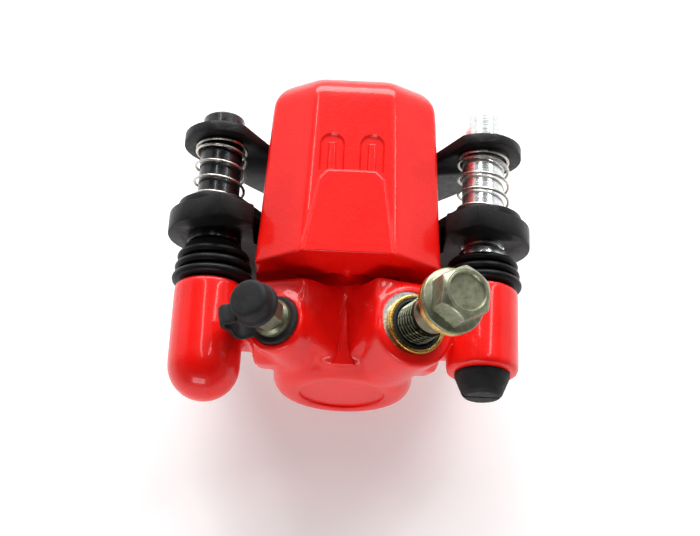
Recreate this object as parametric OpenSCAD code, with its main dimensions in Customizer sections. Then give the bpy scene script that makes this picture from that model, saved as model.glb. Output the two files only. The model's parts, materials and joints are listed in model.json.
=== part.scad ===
// Small single-piston floating brake caliper, with its bracket, pads, slide pins and hose bolt.
// Frame: the origin is midway between the two mounting holes, on the bracket's inboard face.
// +Y runs along the piston towards the fingers, and +Z runs outwards to the bridge.

/* [Bracket] */
// Thickness of the bracket plate
bracket_t = 5; // [4:0.1:5.1]
// Distance between the two mounting holes
mount_pitch = 51; // [49:0.5:53]
// Radius of a mounting hole
mount_hole_r = 4.25; // [4:0.05:4.5]
// Distance of each slide pin from the centre plane
pin_x = 31.5; // [31.4:0.1:32]
// Height of the slide pins above the mounting holes
pin_z = 36; // [35.5:0.1:36.5]
// Radius of the bracket's lobe round a pin
lobe_r = 11; // [10.5:0.1:11.5]

/* [Slide pins] */
// Radius of both slide pins
pin_r = 5; // [4.8:0.05:5]
// Outboard end of the fixed pin
fixed_pin_end = 31.4; // [29:0.1:33]
// Outboard end of the removable pin
loose_pin_end = 34.2; // [31:0.1:35]
// Radius of the removable pin's collar
collar_r = 5.7; // [5.4:0.1:6]

/* [Pads] */
// Thickness of a pad's steel backing plate
plate_t = 2.5; // [2:0.1:2.5]
// Thickness of a new friction lining
lining_t = 5.5; // [4:0.1:5.5]
// Distance between the two backing plates
plate_gap = 16.1; // [16:0.1:16.1]
// Outer radius of a pad's eye
eye_r = 9.1; // [8.8:0.1:9.4]

/* [Cylinder and piston] */
// Height of the piston's axis above the mounting holes
cyl_z = 19.5; // [19:0.1:20]
// Outer radius of the cylinder
cyl_r = 16.5; // [16.2:0.1:17]
// Radius of the piston
piston_r = 12.7; // [12.5:0.05:12.7]
// Radius of the round recess in the cylinder's closed end
recess_r = 9.8; // [8:0.1:10.5]

/* [Bridge] */
// Height of the bridge's flat top
bridge_top = 51.8; // [51:0.1:53]
// Half width of the flat top
crease_x = 9.4; // [9:0.1:10]
// Half width of the bridge at its inboard end
bridge_w = 21.3; // [21:0.1:21.5]
// Outboard face of the fingers
finger_end = 38; // [37:0.1:39]

/* [Pin bosses] */
// Radius of the two pin bosses
boss_r = 8.3; // [8.2:0.05:8.5]
// Open end of the left boss
left_boss_top = -12.6; // [-13:0.1:-12.4]
// Open end of the right boss
right_boss_top = -10.9; // [-11.4:0.1:-10.8]

/* [Hose port and bleeder] */
// Tilt of the hose port away from the centre plane, in degrees
port_tilt = 22; // [21:0.5:23]
// Lean of the hose port towards the cylinder's closed end, in degrees
port_lean = 2.5; // [1:0.5:3]
// Tilt of the bleeder away from the centre plane, in degrees
bleed_tilt = 24; // [22:0.5:26]
// Height of the hose bolt's head above the port, as delivered
bolt_lift = 18.2; // [17:0.1:19]

/* [Springs] */
// Radius of the spring wire
wire_r = 0.4; // [0.35:0.05:0.45]
// Outer radius of the spring's coils
coil_r = 6.35; // [6.2:0.05:6.5]
// Number of turns, with the closed end turn
coil_turns = 4.5; // [4:0.25:5]

/* [Hidden] */
$fn = 64;
eps = 0.5;                                    // overshoot of a cutting tool

// Stations along Y, from the bracket outwards and back to the cylinder's end
inner_plate_y = bracket_t + 0.2;
inner_lining_y = inner_plate_y + plate_t;
outer_plate_y = inner_lining_y + plate_gap;
outer_lining_y = outer_plate_y - lining_t;
finger_y = outer_plate_y + plate_t + 0.3;
piston_front = inner_plate_y - 0.3;
piston_back = -20.7;
mouth_y = -1;                                 // open end of the cylinder
bore_end = -24.5;                             // inner end of the bore
cyl_end = -32;                                // closed end of the cylinder
front_y = -9.4;                               // bridge's inboard face
bore_r = piston_r + 0.05;
relief = 0.5;                                 // height of the bridge's panel and depth of its pockets
panel_y = 10.8;                               // outboard edge of the panel
seal_y = -7.5;
seal_w = 2.2;
seal_r = 14.9;
wiper_y = -3.7;
wiper_w = 1.6;
wiper_r = 14.6;

// Pin bosses
left_boss_end = -31.8;                        // centre of the left boss's round end
right_boss_end = -30.9;
pin_bore_r = pin_r + 0.05;
boot_seat_r = 7;
boot_seat_l = 4;
left_pin_tip = -30;
right_pin_tip = -24;
plug_seat = -27;                              // depth of the plug in the right boss
plug_r = 6.3;
plug_stem_r = 5.6;

// Hose port, washers and bolt, along the port's own axis
port_at = [15.5, -23.4, 45.3];
port_boss_r = 9.7;
port_r = 5.05;
port_depth = 13;
bolt_r = 4.95;
bolt_len = 23;
thread_len = 13;
thread_pitch = 1.25;
thread_depth = 0.7;
flange_r = 7.3;
flange_t = 2;
bolt_hex = 11;
bolt_hex_h = 5.6;
washer_r = 6.8;
washer_seal_r = 5.9;
washer_t = 1.5;

// Bleeder, along its own axis
bleed_at = [-15.5, -23.2, 43.4];
bleed_boss_r = 7.2;
bleed_r = 3.5;
bleed_depth = 10;
ring_r = 5.7;
ring_t = 1.4;
strap_x = 5;
bleed_hex = 7;
hex_z = ring_t + 2.3;
hex_h = 5.3;
cap_z = hex_z + hex_h + 0.2;
cap_end = 14.8;
nipple_r = 3;

// Points on an arc in a plane, from angle a0 to a1 in n steps
function arc(x, y, r, a0, a1, n) =
    [for (i = [0:n]) let (a = a0 + (a1 - a0) * i / n) [x + r * cos(a), y + r * sin(a)]];

function flip(points) = [for (i = [len(points) - 1:-1:0]) [-points[i].x, points[i].y]];

// Cylinder along +Y
module rod(x, z, y0, y1, r) {
    translate([x, y0, z]) rotate([-90, 0, 0]) cylinder(r = r, h = y1 - y0);
}

// Solid turned about an axis along Y, from an outline of [radius, y]
module turned(x, z, outline) {
    translate([x, 0, z]) rotate([-90, 0, 0]) rotate_extrude() polygon(outline);
}

// Plate from y0 to y1, from an outline of [x, z]
module plate(y0, y1) {
    translate([0, y1, 0]) rotate([90, 0, 0]) linear_extrude(y1 - y0) children();
}

// Solid as wide as half_w each way, from an outline of [y, z]
module profile(half_w, outline) {
    translate([-half_w, 0, 0]) rotate([90, 0, 90]) linear_extrude(2 * half_w) polygon(outline);
}

module on_port() {
    translate(port_at) rotate([port_lean, port_tilt, 0]) children();
}

module on_bleeder() {
    translate(bleed_at) rotate([0, -bleed_tilt, 0]) children();
}

module hex_prism(across, h) {
    rotate(30) cylinder(r = across / sqrt(3), h = h, $fn = 6);
}

// ---- Housing -------------------------------------------------------------------------------

// Cross-section of the bridge: a flat top with a sloping facet on each side
module bridge_section() {
    low = 43.8;
    half = [[crease_x, bridge_top], [bridge_w, low], [bridge_w, 0]];
    polygon(concat(flip(half), half));
}

// Plan of the bridge: it narrows outboard, and its outboard corners are round
module bridge_plan() {
    r = 5;
    back_w = 18.9;
    half = concat([[bridge_w, front_y]], arc(back_w - r, finger_end - r, r, 8, 90, 6));
    polygon(concat(half, flip(half)));
}

// Bridge and fingers as one block, before the disc's space is cut out
module bridge_block() {
    r = 7.5;
    low = 7;
    outline = concat(
        [[front_y, 24], [front_y, bridge_top]],
        arc(finger_end - r, bridge_top - r, r, 90, 0, 6),
        [[finger_end, low], [finger_y, low], [finger_y, 24]]);
    intersection() {
        plate(front_y, finger_end) bridge_section();
        linear_extrude(60) bridge_plan();
        profile(30, outline);
    }
}

// Space under the bridge for the disc and the pads, with an arched roof
module disc_space() {
    roof = 41;
    roof_r = 88;
    intersection() {
        rod(0, roof - roof_r, mouth_y, finger_y, roof_r);
        translate([-40, mouth_y, -5]) cube([80, finger_y - mouth_y, 60]);
    }
}

// Opening between the two fingers, and the fingers' tapered sides
module finger_shape() {
    gap_r = 7;
    gap_z = 24;
    rod(0, gap_z, finger_y - eps, finger_end + eps, gap_r);
    translate([-gap_r, finger_y - eps, 0]) cube([2 * gap_r, finger_end - finger_y + 2 * eps, gap_z]);
    for (side = [-1, 1])
        plate(finger_y - eps, finger_end + eps)
            polygon([[side * 22, 30], [side * 18.9, 30], [side * 14.5, 6], [side * 22, 6]]);
}

module cylinder_body() {
    r = 4.5;
    flange_y = -12;
    outline = concat(
        [[0, mouth_y], [18.3, mouth_y], [18.3, flange_y], [cyl_r, flange_y - 1.8]],
        arc(cyl_r - r, cyl_end + r, r, 0, -90, 6),
        [[recess_r + 0.4, cyl_end], [recess_r, cyl_end + 0.6], [0, cyl_end + 0.6]]);
    turned(0, cyl_z, outline);
}

// Shoulder that carries the port and the bleeder, with the valley between them and a channel
// that parts it from the bridge
module shoulder() {
    section = [
        [-20, 24], [-21.3, 39], [-20, 40.9], [-9.3, 45.4], [-0.8, 38.4], [0.8, 38.4], [6.8, 48.2],
        [22, 41.9], [22.5, 39], [20, 24]
    ];
    channel_z = 37.5;
    channel_y = -12;
    side = [
        [front_y + 2, 24], [front_y + 2, channel_z], [channel_y, channel_z], [channel_y - 1.3, 52],
        [-19, 52], [-27, 41], [-30, 33], [-28, 24]
    ];
    intersection() {
        plate(-30, front_y + 2) polygon(section);
        profile(30, side);
    }
}

// Rib along the valley, which spreads to a small flat foot
module valley_rib() {
    intersection() {
        profile(5, [[-10, 34], [-10, 42], [-16, 40.2], [-30.6, 36.1], [-30.6, 34]]);
        linear_extrude(60)
            polygon([[-0.6, -10], [-0.6, -22], [-2.6, -30.6], [2.6, -30.6], [0.6, -22], [0.6, -10]]);
    }
}

// Raised panel on the bridge's flat top: it narrows to the pockets, with its corners cut
module bridge_panel() {
    translate([0, 0, bridge_top - 1]) linear_extrude(1 + relief)
        polygon([[-9, front_y], [9, front_y], [7.2, panel_y - 2], [5.4, panel_y],
                 [-5.4, panel_y], [-7.2, panel_y - 2]]);
}

// Two shallow pockets outboard of the panel, each with a bar along its middle
module bridge_pockets() {
    pocket_r = 2.9;
    pocket_l = 7;
    bar_w = 1.8;
    for (x = [-4.8, 4.4]) translate([x, panel_y, bridge_top - relief]) difference() {
        union() {
            translate([0, pocket_l, 0]) cylinder(r = pocket_r, h = 2);
            translate([-pocket_r, -1, 0]) cube([2 * pocket_r, pocket_l + 1, 2]);
        }
        translate([-bar_w / 2, -2, -1]) cube([bar_w, pocket_l + 2, 4]);
    }
}

module housing_solid() {
    web_low = 29;
    web_high = 39;
    difference() {
        bridge_block();
        disc_space();
        finger_shape();
        bridge_pockets();
    }
    bridge_panel();
    cylinder_body();
    shoulder();
    valley_rib();
    // Neck that carries the bridge on the cylinder's mouth
    intersection() {
        translate([-20, front_y, 20]) cube([40, mouth_y - front_y, 24]);
        plate(front_y, mouth_y) bridge_section();
    }
    on_port() translate([0, 0, -18]) cylinder(r = port_boss_r, h = 18);
    on_bleeder() translate([0, 0, -18]) cylinder(r = bleed_boss_r, h = 18);
    // Pin bosses and the webs that join them to the cylinder
    rod(-pin_x, pin_z, left_boss_end, left_boss_top, boss_r);
    translate([-pin_x, left_boss_end, pin_z]) sphere(r = boss_r);
    rod(pin_x, pin_z, right_boss_end, right_boss_top, boss_r);
    translate([-pin_x, -26, web_low]) cube([pin_x, left_boss_top + 26, web_high - web_low]);
    translate([0, -26, web_low]) cube([pin_x, right_boss_top + 26, web_high - web_low]);
}

module caliper_housing() {
    port_drill_r = 1.5;
    bleed_drill_r = 1.2;
    drill_l = 21;
    spot_r = 7.4;
    color("crimson") difference() {
        housing_solid();
        rod(0, cyl_z, bore_end, mouth_y + eps, bore_r);
        rod(0, cyl_z, seal_y, seal_y + seal_w, seal_r);
        rod(0, cyl_z, wiper_y, wiper_y + wiper_w, wiper_r);
        // Pin bores, with a wider seat for each boot, and the plug's seat
        rod(-pin_x, pin_z, left_pin_tip - 1, left_boss_top + eps, pin_bore_r);
        rod(-pin_x, pin_z, left_boss_top - boot_seat_l, left_boss_top + eps, boot_seat_r);
        rod(pin_x, pin_z, plug_seat - eps, right_boss_top + eps, pin_bore_r);
        rod(pin_x, pin_z, right_boss_top - boot_seat_l, right_boss_top + eps, boot_seat_r);
        rod(pin_x, pin_z, right_boss_end - eps, plug_seat, plug_stem_r);
        on_port() {
            translate([0, 0, -port_depth]) cylinder(r = port_r, h = port_depth + 1);
            translate([0, 0, -drill_l]) cylinder(r = port_drill_r, h = drill_l);
            translate([-0.7, 0.5, 0]) cylinder(r = spot_r, h = 12);
        }
        on_bleeder() {
            translate([0, 0, -bleed_depth]) cylinder(r = bleed_r + 0.05, h = bleed_depth + 1);
            translate([0, 0, -drill_l]) cylinder(r = bleed_drill_r, h = drill_l);
            cylinder(r = ring_r + 0.2, h = 12);
        }
    }
}

// ---- Piston and its seals --------------------------------------------------------------------

module piston() {
    cup_r = 8.6;
    cup_y = -13;
    color("silver") turned(0, cyl_z, [
        [0, piston_back], [piston_r - 0.8, piston_back], [piston_r, piston_back + 0.8],
        [piston_r, piston_front - 0.5], [piston_r - 0.5, piston_front], [cup_r, piston_front],
        [cup_r, cup_y + 1], [cup_r - 1, cup_y], [0, cup_y]
    ]);
}

// Ring in a groove of the bore, from y0 to y1 and out to radius r
module bore_ring(y0, y1, r) {
    gap = 0.02;
    turned(0, cyl_z, [
        [piston_r + gap, y0 + gap], [r - gap, y0 + gap], [r - gap, y1 - gap], [piston_r + gap, y1 - gap]
    ]);
}

module piston_seal() {
    color("dimgray") bore_ring(seal_y, seal_y + seal_w, seal_r);
}

module dust_seal() {
    color("black") bore_ring(wiper_y, wiper_y + wiper_w, wiper_r);
}

// ---- Bracket and pins ------------------------------------------------------------------------

// Bracket plate before it is drilled: a lobe round each pin and each mounting hole
module bracket_plate() {
    mount_lobe_r = 9;
    half = concat(
        [[bridge_w + 1, 44.5], [29.3, 50.1]],
        arc(pin_x, pin_z, lobe_r, 57, -50, 24),
        arc(mount_pitch / 2, 0, mount_lobe_r, 5, -130, 28),
        [[17.5, -6.5]]);
    plate(0, bracket_t) polygon(concat(half, flip(half)));
}

// Opening for the piston, which widens upwards to let the bridge through
module bracket_opening() {
    r = 15.4;
    w = bridge_w + 1;
    half = concat([[w, 60], [w, cyl_z + 14], [r, cyl_z + 7]], arc(0, cyl_z, r, 0, -86, 18));
    plate(-eps, bracket_t + eps) polygon(concat(half, flip(half)));
}

module mounting_bracket() {
    color([0.12, 0.12, 0.13]) difference() {
        bracket_plate();
        bracket_opening();
        for (side = [-1, 1]) {
            rod(side * pin_x, pin_z, -eps, bracket_t + eps, pin_r);
            rod(side * mount_pitch / 2, 0, -eps, bracket_t + eps, mount_hole_r);
        }
    }
}

module fixed_slide_pin() {
    flange_r = 6.4;
    flange_l = 2.3;
    edge = 0.5;
    color([0.1, 0.1, 0.1]) turned(-pin_x, pin_z, [
        [0, left_pin_tip], [pin_r - edge, left_pin_tip], [pin_r, left_pin_tip + edge],
        [pin_r, -flange_l], [flange_r, -flange_l], [flange_r, 0], [pin_r, 0],
        [pin_r, fixed_pin_end - edge], [pin_r - edge, fixed_pin_end], [0, fixed_pin_end]
    ]);
}

module removable_slide_pin() {
    edge = 0.5;
    socket = 5;
    socket_l = 4;
    color("gainsboro") difference() {
        turned(pin_x, pin_z, [
            [0, right_pin_tip], [pin_r - edge, right_pin_tip], [pin_r, right_pin_tip + edge],
            [pin_r, -3.1], [collar_r - 0.2, -3.1], [collar_r, -2.9], [collar_r, -1.3],
            [pin_r - 0.5, -1.1], [pin_r - 0.5, 0], [pin_r, 0],
            [pin_r, loose_pin_end - edge], [pin_r - edge, loose_pin_end], [0, loose_pin_end]
        ]);
        translate([pin_x, right_pin_tip - eps, pin_z]) rotate([-90, 0, 0])
            hex_prism(socket, socket_l + eps);
    }
}

// ---- Boots and springs -----------------------------------------------------------------------

// Bellows on the pin at x, from its lip at y = top down to a sleeve in the boss
module boot(x, top, boss_top, pitch) {
    rib = 1.15;
    crests = [8.15, 8.5, 8.9];
    wall_r = 5.9;
    first = boss_top + 1.5 + 2 * pitch;
    ribs = [for (i = [0:2]) each arc(crests[i] - rib, first - i * pitch, rib, 90, -90, 6)];
    turned(x, pin_z, concat(
        [[pin_r + 0.02, top], [6.7, top], [6.9, top - 0.2]],
        ribs,
        [[boot_seat_r, boss_top], [boot_seat_r, boss_top - boot_seat_l],
         [wall_r, boss_top - boot_seat_l], [wall_r, top - 1.4], [pin_r + 0.02, top - 1.4]]));
}

module left_boot() {
    color([0.13, 0.13, 0.15]) boot(-pin_x, -2.8, left_boss_top, 2.7);
}

module right_boot() {
    color([0.13, 0.13, 0.15]) boot(pin_x, -3.3, right_boss_top, 2.35);
}

// Coil on the pin at x between the pads' eyes: its last turn is closed
module coil(x) {
    steps = 24;
    sides = 8;
    gap = 0.05;
    low = inner_lining_y + wire_r + gap;
    high = outer_plate_y - wire_r - gap;
    closed = 2 * wire_r + gap;
    count = floor(coil_turns * steps);
    open_turns = coil_turns - 1;
    function coil_y(t) = t < open_turns ? low + (high - closed - low) * t / open_turns
                                        : high - closed * (coil_turns - t);
    points = [
        for (i = [0:count]) let (a = 360 * i / steps, y = coil_y(i / steps))
            for (j = [0:sides - 1]) let (b = 360 * j / sides, r = coil_r - wire_r + wire_r * cos(b))
                [r * cos(a), y + wire_r * sin(b), r * sin(a)]
    ];
    walls = [
        for (i = [0:count - 1]) for (j = [0:sides - 1]) let (k = (j + 1) % sides)
            [i * sides + j, (i + 1) * sides + j, (i + 1) * sides + k, i * sides + k]
    ];
    first_cap = [for (j = [0:sides - 1]) j];
    last_cap = [for (j = [sides - 1:-1:0]) count * sides + j];
    translate([x, 0, pin_z]) polyhedron(points, concat(walls, [first_cap, last_cap]));
}

module left_return_spring() {
    color("lightgray") coil(-pin_x);
}

module right_return_spring() {
    color("lightgray") coil(pin_x);
}

// ---- Pads ------------------------------------------------------------------------------------

// Backing plate: from the neck round each eye and down to the body's lower corners
module pad_plate(y0) {
    neck = 128;
    under = -41;
    half = concat(
        [[18, 33.2], [20.4, 33.9], [23, 38.2]],
        arc(pin_x, pin_z, eye_r, neck, under, 16),
        [[25, 14.8], [15.5, 5]]);
    difference() {
        plate(y0, y0 + plate_t) polygon(concat(half, flip(half)));
        for (side = [-1, 1]) rod(side * pin_x, pin_z, y0 - eps, y0 + plate_t + eps, pin_r + 0.1);
    }
}

module pad_lining(y0) {
    half = [[14.5, 6.5], [20.5, 12.5], [20.5, 27.5], [16.5, 31.5]];
    plate(y0, y0 + lining_t) polygon(concat(half, flip(half)));
}

module inner_pad_plate() {
    color([0.15, 0.15, 0.16]) pad_plate(inner_plate_y);
}

module inner_pad_lining() {
    color([0.3, 0.27, 0.25]) pad_lining(inner_lining_y);
}

module outer_pad_plate() {
    color([0.15, 0.15, 0.16]) pad_plate(outer_plate_y);
}

module outer_pad_lining() {
    color([0.3, 0.27, 0.25]) pad_lining(outer_lining_y);
}

// ---- Hose bolt and washers -------------------------------------------------------------------

// Hollow bolt: threaded tip, plain neck with a cross hole, flange and hexagon head
module banjo_bolt() {
    tip = bolt_lift - bolt_len;
    thread_end = tip + thread_len;
    neck_r = 4.5;
    turns = floor((thread_len - 1) / thread_pitch);
    thread = [
        for (i = [0:turns - 1]) let (z = tip + 1 + i * thread_pitch)
            each [[bolt_r - thread_depth, z], [bolt_r, z + thread_pitch / 2]]
    ];
    head = bolt_lift + flange_t;
    corner_r = bolt_hex / sqrt(3);
    dish_r = 4.1;
    color([0.55, 0.55, 0.42]) on_port() difference() {
        union() {
            rotate_extrude() polygon(concat(
                [[0, tip], [bolt_r - 1, tip], [bolt_r - thread_depth, tip + 0.6]],
                thread,
                [[neck_r, thread_end], [neck_r, bolt_lift], [flange_r, bolt_lift],
                 [flange_r, head - 0.6], [flange_r - 0.6, head], [0, head]]));
            intersection() {
                translate([0, 0, head - 0.2]) hex_prism(bolt_hex, bolt_hex_h + 0.2);
                translate([0, 0, head - 1])
                    cylinder(r1 = corner_r + bolt_hex_h, r2 = corner_r - 1.3, h = bolt_hex_h + 1);
            }
        }
        translate([0, 0, head + bolt_hex_h - 0.6]) cylinder(r = dish_r, h = 1);
        translate([0, 0, tip - eps]) cylinder(r = 1.8, h = bolt_len - 5 + eps);
        translate([-6, 0, bolt_lift - 7]) rotate([0, 90, 0]) cylinder(r = 1.5, h = 12);
    }
}

// Ring of rectangular section with bevelled edges, from radius r0 to r1, with its underside at z
module washer(z, r0, r1) {
    edge = 0.2;
    on_port() rotate_extrude() polygon([
        [r0, z], [r1 - edge, z], [r1, z + edge], [r1, z + washer_t - edge],
        [r1 - edge, z + washer_t], [r0, z + washer_t]
    ]);
}

module head_washer_ring() {
    color("goldenrod") washer(bolt_lift - washer_t, washer_seal_r, washer_r);
}

module head_washer_seal() {
    color([0.15, 0.15, 0.16]) washer(bolt_lift - washer_t, bolt_r + 0.15, washer_seal_r);
}

module port_washer_ring() {
    color("goldenrod") washer(0, washer_seal_r, washer_r);
}

module port_washer_seal() {
    color([0.15, 0.15, 0.16]) washer(0, bolt_r + 0.15, washer_seal_r);
}

// ---- Bleeder ---------------------------------------------------------------------------------

// Hollow screw: cone seat, plain shank, flange, hexagon and a barbed nipple under the cap
module bleeder_screw() {
    flange_r = 4.4;
    top = hex_z + hex_h;
    nipple_end = cap_end - 1.6;
    color([0.55, 0.55, 0.42]) on_bleeder() difference() {
        union() {
            rotate_extrude() polygon([
                [0, -bleed_depth + 0.1], [1.6, -bleed_depth + 0.1], [bleed_r, -bleed_depth + 2],
                [bleed_r, ring_t], [flange_r, ring_t], [flange_r, hex_z], [2.4, hex_z], [2.4, top + 1.2],
                [nipple_r, top + 2.4], [nipple_r - 0.6, nipple_end], [0, nipple_end]
            ]);
            translate([0, 0, hex_z - 0.1]) hex_prism(bleed_hex, hex_h + 0.1);
        }
        translate([0, 0, -bleed_depth + 3]) cylinder(r = 0.9, h = 30);
        translate([-5, 0, -bleed_depth + 4]) rotate([0, 90, 0]) cylinder(r = 0.9, h = 10);
    }
}

module bleeder_cap() {
    lip_r = 5.1;
    cap_r = 4.5;
    corner = 1.2;
    inner_r = nipple_r + 0.1;
    color([0.14, 0.14, 0.14]) on_bleeder() rotate_extrude() polygon(concat(
        [[inner_r, cap_z], [lip_r, cap_z], [lip_r, cap_z + 1.7], [cap_r + 0.1, cap_z + 2.2]],
        arc(cap_r - corner, cap_end - corner, corner, 0, 90, 5),
        [[0, cap_end], [0, cap_end - 1.3], [inner_r, cap_end - 1.3]]));
}

// Ring round the bleeder screw, with a curved strap up to the cap
module bleeder_tether() {
    strap_w = 5;
    strap_t = 1.2;
    strap_angle = 191;
    bend_r = 3.2;
    bend_x = 6.3;
    low = 0.1;
    high = 10.5;
    strap_end = 5.35;
    outline = concat(
        [[strap_x, low]],
        arc(bend_x, low + bend_r, bend_r, -90, 0, 6),
        arc(bend_x, high - bend_r, bend_r, 0, 90, 6),
        [[strap_end, high], [strap_end, high - strap_t]],
        arc(bend_x, high - bend_r, bend_r - strap_t, 90, 0, 6),
        arc(bend_x, low + bend_r, bend_r - strap_t, 0, -90, 6),
        [[strap_x, low + strap_t]]);
    color([0.14, 0.14, 0.14]) on_bleeder() {
        difference() {
            cylinder(r = ring_r, h = ring_t);
            translate([0, 0, -eps]) cylinder(r = bleed_r + 0.15, h = ring_t + 2 * eps);
        }
        rotate([0, 0, strap_angle]) rotate([90, 0, 0]) translate([0, 0, -strap_w / 2])
            linear_extrude(strap_w) polygon(outline);
    }
}

// ---- Plug ------------------------------------------------------------------------------------

// Tapered rubber plug with a slot across its end
module pin_access_plug() {
    end = -36.4;
    end_r = 4.6;
    slot_w = 1.2;
    color([0.13, 0.13, 0.14]) difference() {
        turned(pin_x, pin_z, [
            [0, end], [end_r - 0.6, end], [end_r, end + 0.6], [plug_r, right_boss_end - 0.8],
            [plug_r, right_boss_end], [plug_stem_r, right_boss_end],
            [plug_stem_r, plug_seat - 0.1], [0, plug_seat - 0.1]
        ]);
        translate([pin_x - 6, end - eps, pin_z - slot_w / 2]) cube([12, 1 + eps, slot_w]);
    }
}

caliper_housing();
piston();
piston_seal();
dust_seal();
mounting_bracket();
fixed_slide_pin();
removable_slide_pin();
left_boot();
right_boot();
left_return_spring();
right_return_spring();
inner_pad_plate();
inner_pad_lining();
outer_pad_plate();
outer_pad_lining();
banjo_bolt();
head_washer_ring();
head_washer_seal();
port_washer_ring();
port_washer_seal();
bleeder_screw();
bleeder_cap();
bleeder_tether();
pin_access_plug();
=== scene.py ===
"""Looks for a small floating brake caliper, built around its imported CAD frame.

Everything is in metres in the row frame: +Y runs outboard along the piston and +Z up to the bridge.
The part's sizes are given in millimetres and multiplied by MM; those of the stage are in metres.
"""

import json
import math

import bmesh
import bpy
import numpy as np
from mathutils import Matrix, Vector


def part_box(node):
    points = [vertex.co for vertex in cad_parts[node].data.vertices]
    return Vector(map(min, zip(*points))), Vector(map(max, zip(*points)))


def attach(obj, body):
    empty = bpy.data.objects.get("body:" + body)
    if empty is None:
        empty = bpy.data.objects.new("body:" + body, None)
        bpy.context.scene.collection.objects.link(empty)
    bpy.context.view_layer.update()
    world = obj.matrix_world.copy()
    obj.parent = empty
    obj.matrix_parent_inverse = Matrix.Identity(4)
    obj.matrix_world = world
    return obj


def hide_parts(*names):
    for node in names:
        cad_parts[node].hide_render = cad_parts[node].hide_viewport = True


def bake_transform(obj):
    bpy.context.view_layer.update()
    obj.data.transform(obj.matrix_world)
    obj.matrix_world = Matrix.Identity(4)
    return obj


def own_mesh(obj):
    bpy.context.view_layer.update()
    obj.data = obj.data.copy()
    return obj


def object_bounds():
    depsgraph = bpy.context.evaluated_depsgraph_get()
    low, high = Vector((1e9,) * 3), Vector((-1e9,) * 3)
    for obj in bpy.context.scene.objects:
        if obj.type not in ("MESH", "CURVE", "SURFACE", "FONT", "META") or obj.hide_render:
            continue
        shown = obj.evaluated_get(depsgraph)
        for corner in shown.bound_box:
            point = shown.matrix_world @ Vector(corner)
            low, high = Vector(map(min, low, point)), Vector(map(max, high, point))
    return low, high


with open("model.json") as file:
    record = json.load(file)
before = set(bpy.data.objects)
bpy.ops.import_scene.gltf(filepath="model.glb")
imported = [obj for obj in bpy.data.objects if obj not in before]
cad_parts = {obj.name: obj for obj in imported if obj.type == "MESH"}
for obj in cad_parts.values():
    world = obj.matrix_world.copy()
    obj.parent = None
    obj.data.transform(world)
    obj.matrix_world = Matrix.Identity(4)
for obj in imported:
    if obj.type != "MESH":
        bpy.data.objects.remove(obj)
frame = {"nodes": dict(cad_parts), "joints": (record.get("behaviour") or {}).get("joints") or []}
cad_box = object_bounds()

MM = 0.001
NODES = frame["nodes"]
JOINTS = {joint["name"]: joint for joint in frame["joints"]}


# ---- Places ------------------------------------------------------------------------------------

def along(origin, axis):
    """Placement whose z runs along axis from origin, and whose x has no part along the row's y."""
    z = Vector(axis).normalized()
    flat = Vector((z.z, 0, -z.x))
    x = flat.normalized() if flat.length > 1e-6 else Vector((1, 0, 0))
    return Matrix.Translation(origin) @ Matrix((x, z.cross(x), z)).transposed().to_4x4()


def upright():
    """Placement for an outline of (x, z): its own z runs inboard."""
    return Matrix(((1, 0, 0), (0, 0, -1), (0, 1, 0))).to_4x4()


def middle(node):
    """Centre of a node's box."""
    low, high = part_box(node)
    return (low + high) / 2


def slide_place(node):
    """Placement on the axis of a pin or the piston: z runs outboard from the bracket's inboard face."""
    centre = middle(node)
    return along((centre.x, 0, centre.z), (0, 1, 0))


PORT = along(JOINTS["hose_bolt_turn"]["pos_m"], JOINTS["hose_bolt_turn"]["axis"])
BLEEDER = along(JOINTS["bleeder_turn"]["pos_m"], JOINTS["bleeder_turn"]["axis"])
LEFT_PIN = slide_place("fixed_slide_pin")
RIGHT_PIN = slide_place("removable_slide_pin")
PISTON_AXIS = slide_place("piston")


# ---- Outlines ----------------------------------------------------------------------------------

def rounded(corners, closed=False, steps=5):
    """Outline through corners of (x, y) or (x, y, radius): a corner with a radius becomes an arc."""
    points = []
    count = len(corners)
    for i, corner in enumerate(corners):
        here = Vector(corner[:2])
        radius = corner[2] if len(corner) > 2 else 0
        if radius == 0 or (not closed and i in (0, count - 1)):
            points.append(tuple(here))
            continue
        before = Vector(corners[i - 1][:2]) - here
        after = Vector(corners[(i + 1) % count][:2]) - here
        half = before.angle(after) / 2
        reach = min(radius / math.tan(half), 0.49 * before.length, 0.49 * after.length)
        radius = reach * math.tan(half)
        before.normalize()
        after.normalize()
        centre = here + (before + after).normalized() * radius / math.sin(half)
        first = here + before * reach - centre
        last = here + after * reach - centre
        turn = first.angle_signed(last)
        for k in range(steps + 1):
            spoke = first.copy()
            spoke.rotate(Matrix.Rotation(-turn * k / steps, 2))
            points.append(tuple(centre + spoke))
    return points


def arc(x, y, radius, start, end, steps):
    """Points on an arc, with its angles in degrees."""
    angles = [math.radians(start + (end - start) * k / steps) for k in range(steps + 1)]
    return [(x + radius * math.cos(a), y + radius * math.sin(a)) for a in angles]


# ---- Meshes ------------------------------------------------------------------------------------

def shown(name, mesh):
    """A new object in the scene with this mesh."""
    piece = bpy.data.objects.new(name, mesh)
    bpy.context.scene.collection.objects.link(piece)
    return piece


def built(name, points, faces, sharp=35):
    """An object from points of the row frame, in millimetres, that is smooth up to the sharp angle."""
    mesh = bpy.data.meshes.new(name)
    mesh.from_pydata([tuple(c * MM for c in p) for p in points], [], faces)
    weld(mesh)
    finish_shading(mesh, sharp)
    return shown(name, mesh)


def weld(mesh, distance=1e-7):
    """Welds a mesh's doubled points and turns its faces outwards."""
    work = bmesh.new()
    work.from_mesh(mesh)
    bmesh.ops.remove_doubles(work, verts=work.verts, dist=distance)
    bmesh.ops.dissolve_degenerate(work, edges=work.edges, dist=distance)
    bmesh.ops.recalc_face_normals(work, faces=work.faces)
    work.to_mesh(mesh)
    work.free()


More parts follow.
